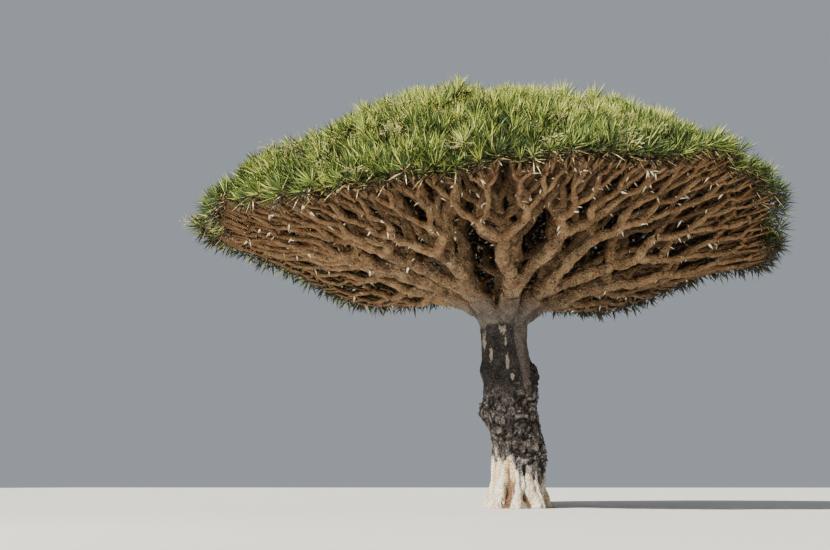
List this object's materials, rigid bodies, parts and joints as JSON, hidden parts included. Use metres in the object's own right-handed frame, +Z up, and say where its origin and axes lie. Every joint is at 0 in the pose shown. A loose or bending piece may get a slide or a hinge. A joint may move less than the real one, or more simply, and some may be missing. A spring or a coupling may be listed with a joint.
{
  "type": "dragon blood tree",
  "caption": "Dragon blood tree with a stout fluted trunk, densely forking boughs and a broad umbrella crown of stiff sword leaves.",
  "frame": {"origin": "centre of the flat cut under the trunk, at ground level", "axes": "+Z up the trunk; -Y towards the viewer of the picture; +X to the viewer's right"},
  "size_m": [9.4928, 9.3412, 6.6842],
  "materials": {
    "trunk_bark": "rough, scarred, weathered bark",
    "bough_bark": "dry, finely wrinkled bark",
    "foliage": "stiff, slightly glossy sword leaves"
  },
  "bodies": {
    "root": {"trunk": "trunk_bark", "middle_bough": "bough_bark", "middle_mass": "foliage", "main_bough_1": "bough_bark", "inner_bough_1": "bough_bark", "outer_bough_1_a": "bough_bark", "outer_bough_1_b": "bough_bark", "inner_mass_1": "foliage", "outer_mass_1_a": "foliage", "outer_mass_1_b": "foliage", "main_bough_2": "bough_bark", "inner_bough_2": "bough_bark", "outer_bough_2_a": "bough_bark", "outer_bough_2_b": "bough_bark", "inner_mass_2": "foliage", "outer_mass_2_a": "foliage", "outer_mass_2_b": "foliage", "main_bough_3": "bough_bark", "inner_bough_3": "bough_bark", "outer_bough_3_a": "bough_bark", "outer_bough_3_b": "bough_bark", "inner_mass_3": "foliage", "outer_mass_3_a": "foliage", "outer_mass_3_b": "foliage", "main_bough_4": "bough_bark", "inner_bough_4": "bough_bark", "outer_bough_4_a": "bough_bark", "outer_bough_4_b": "bough_bark", "inner_mass_4": "foliage", "outer_mass_4_a": "foliage", "outer_mass_4_b": "foliage", "main_bough_5": "bough_bark", "inner_bough_5": "bough_bark", "outer_bough_5_a": "bough_bark", "outer_bough_5_b": "bough_bark", "inner_mass_5": "foliage", "outer_mass_5_a": "foliage", "outer_mass_5_b": "foliage", "main_bough_6": "bough_bark", "inner_bough_6": "bough_bark", "outer_bough_6_a": "bough_bark", "outer_bough_6_b": "bough_bark", "inner_mass_6": "foliage", "outer_mass_6_a": "foliage", "outer_mass_6_b": "foliage", "main_bough_7": "bough_bark", "inner_bough_7": "bough_bark", "outer_bough_7_a": "bough_bark", "outer_bough_7_b": "bough_bark", "inner_mass_7": "foliage", "outer_mass_7_a": "foliage", "outer_mass_7_b": "foliage"}
  },
  "joints": []
}
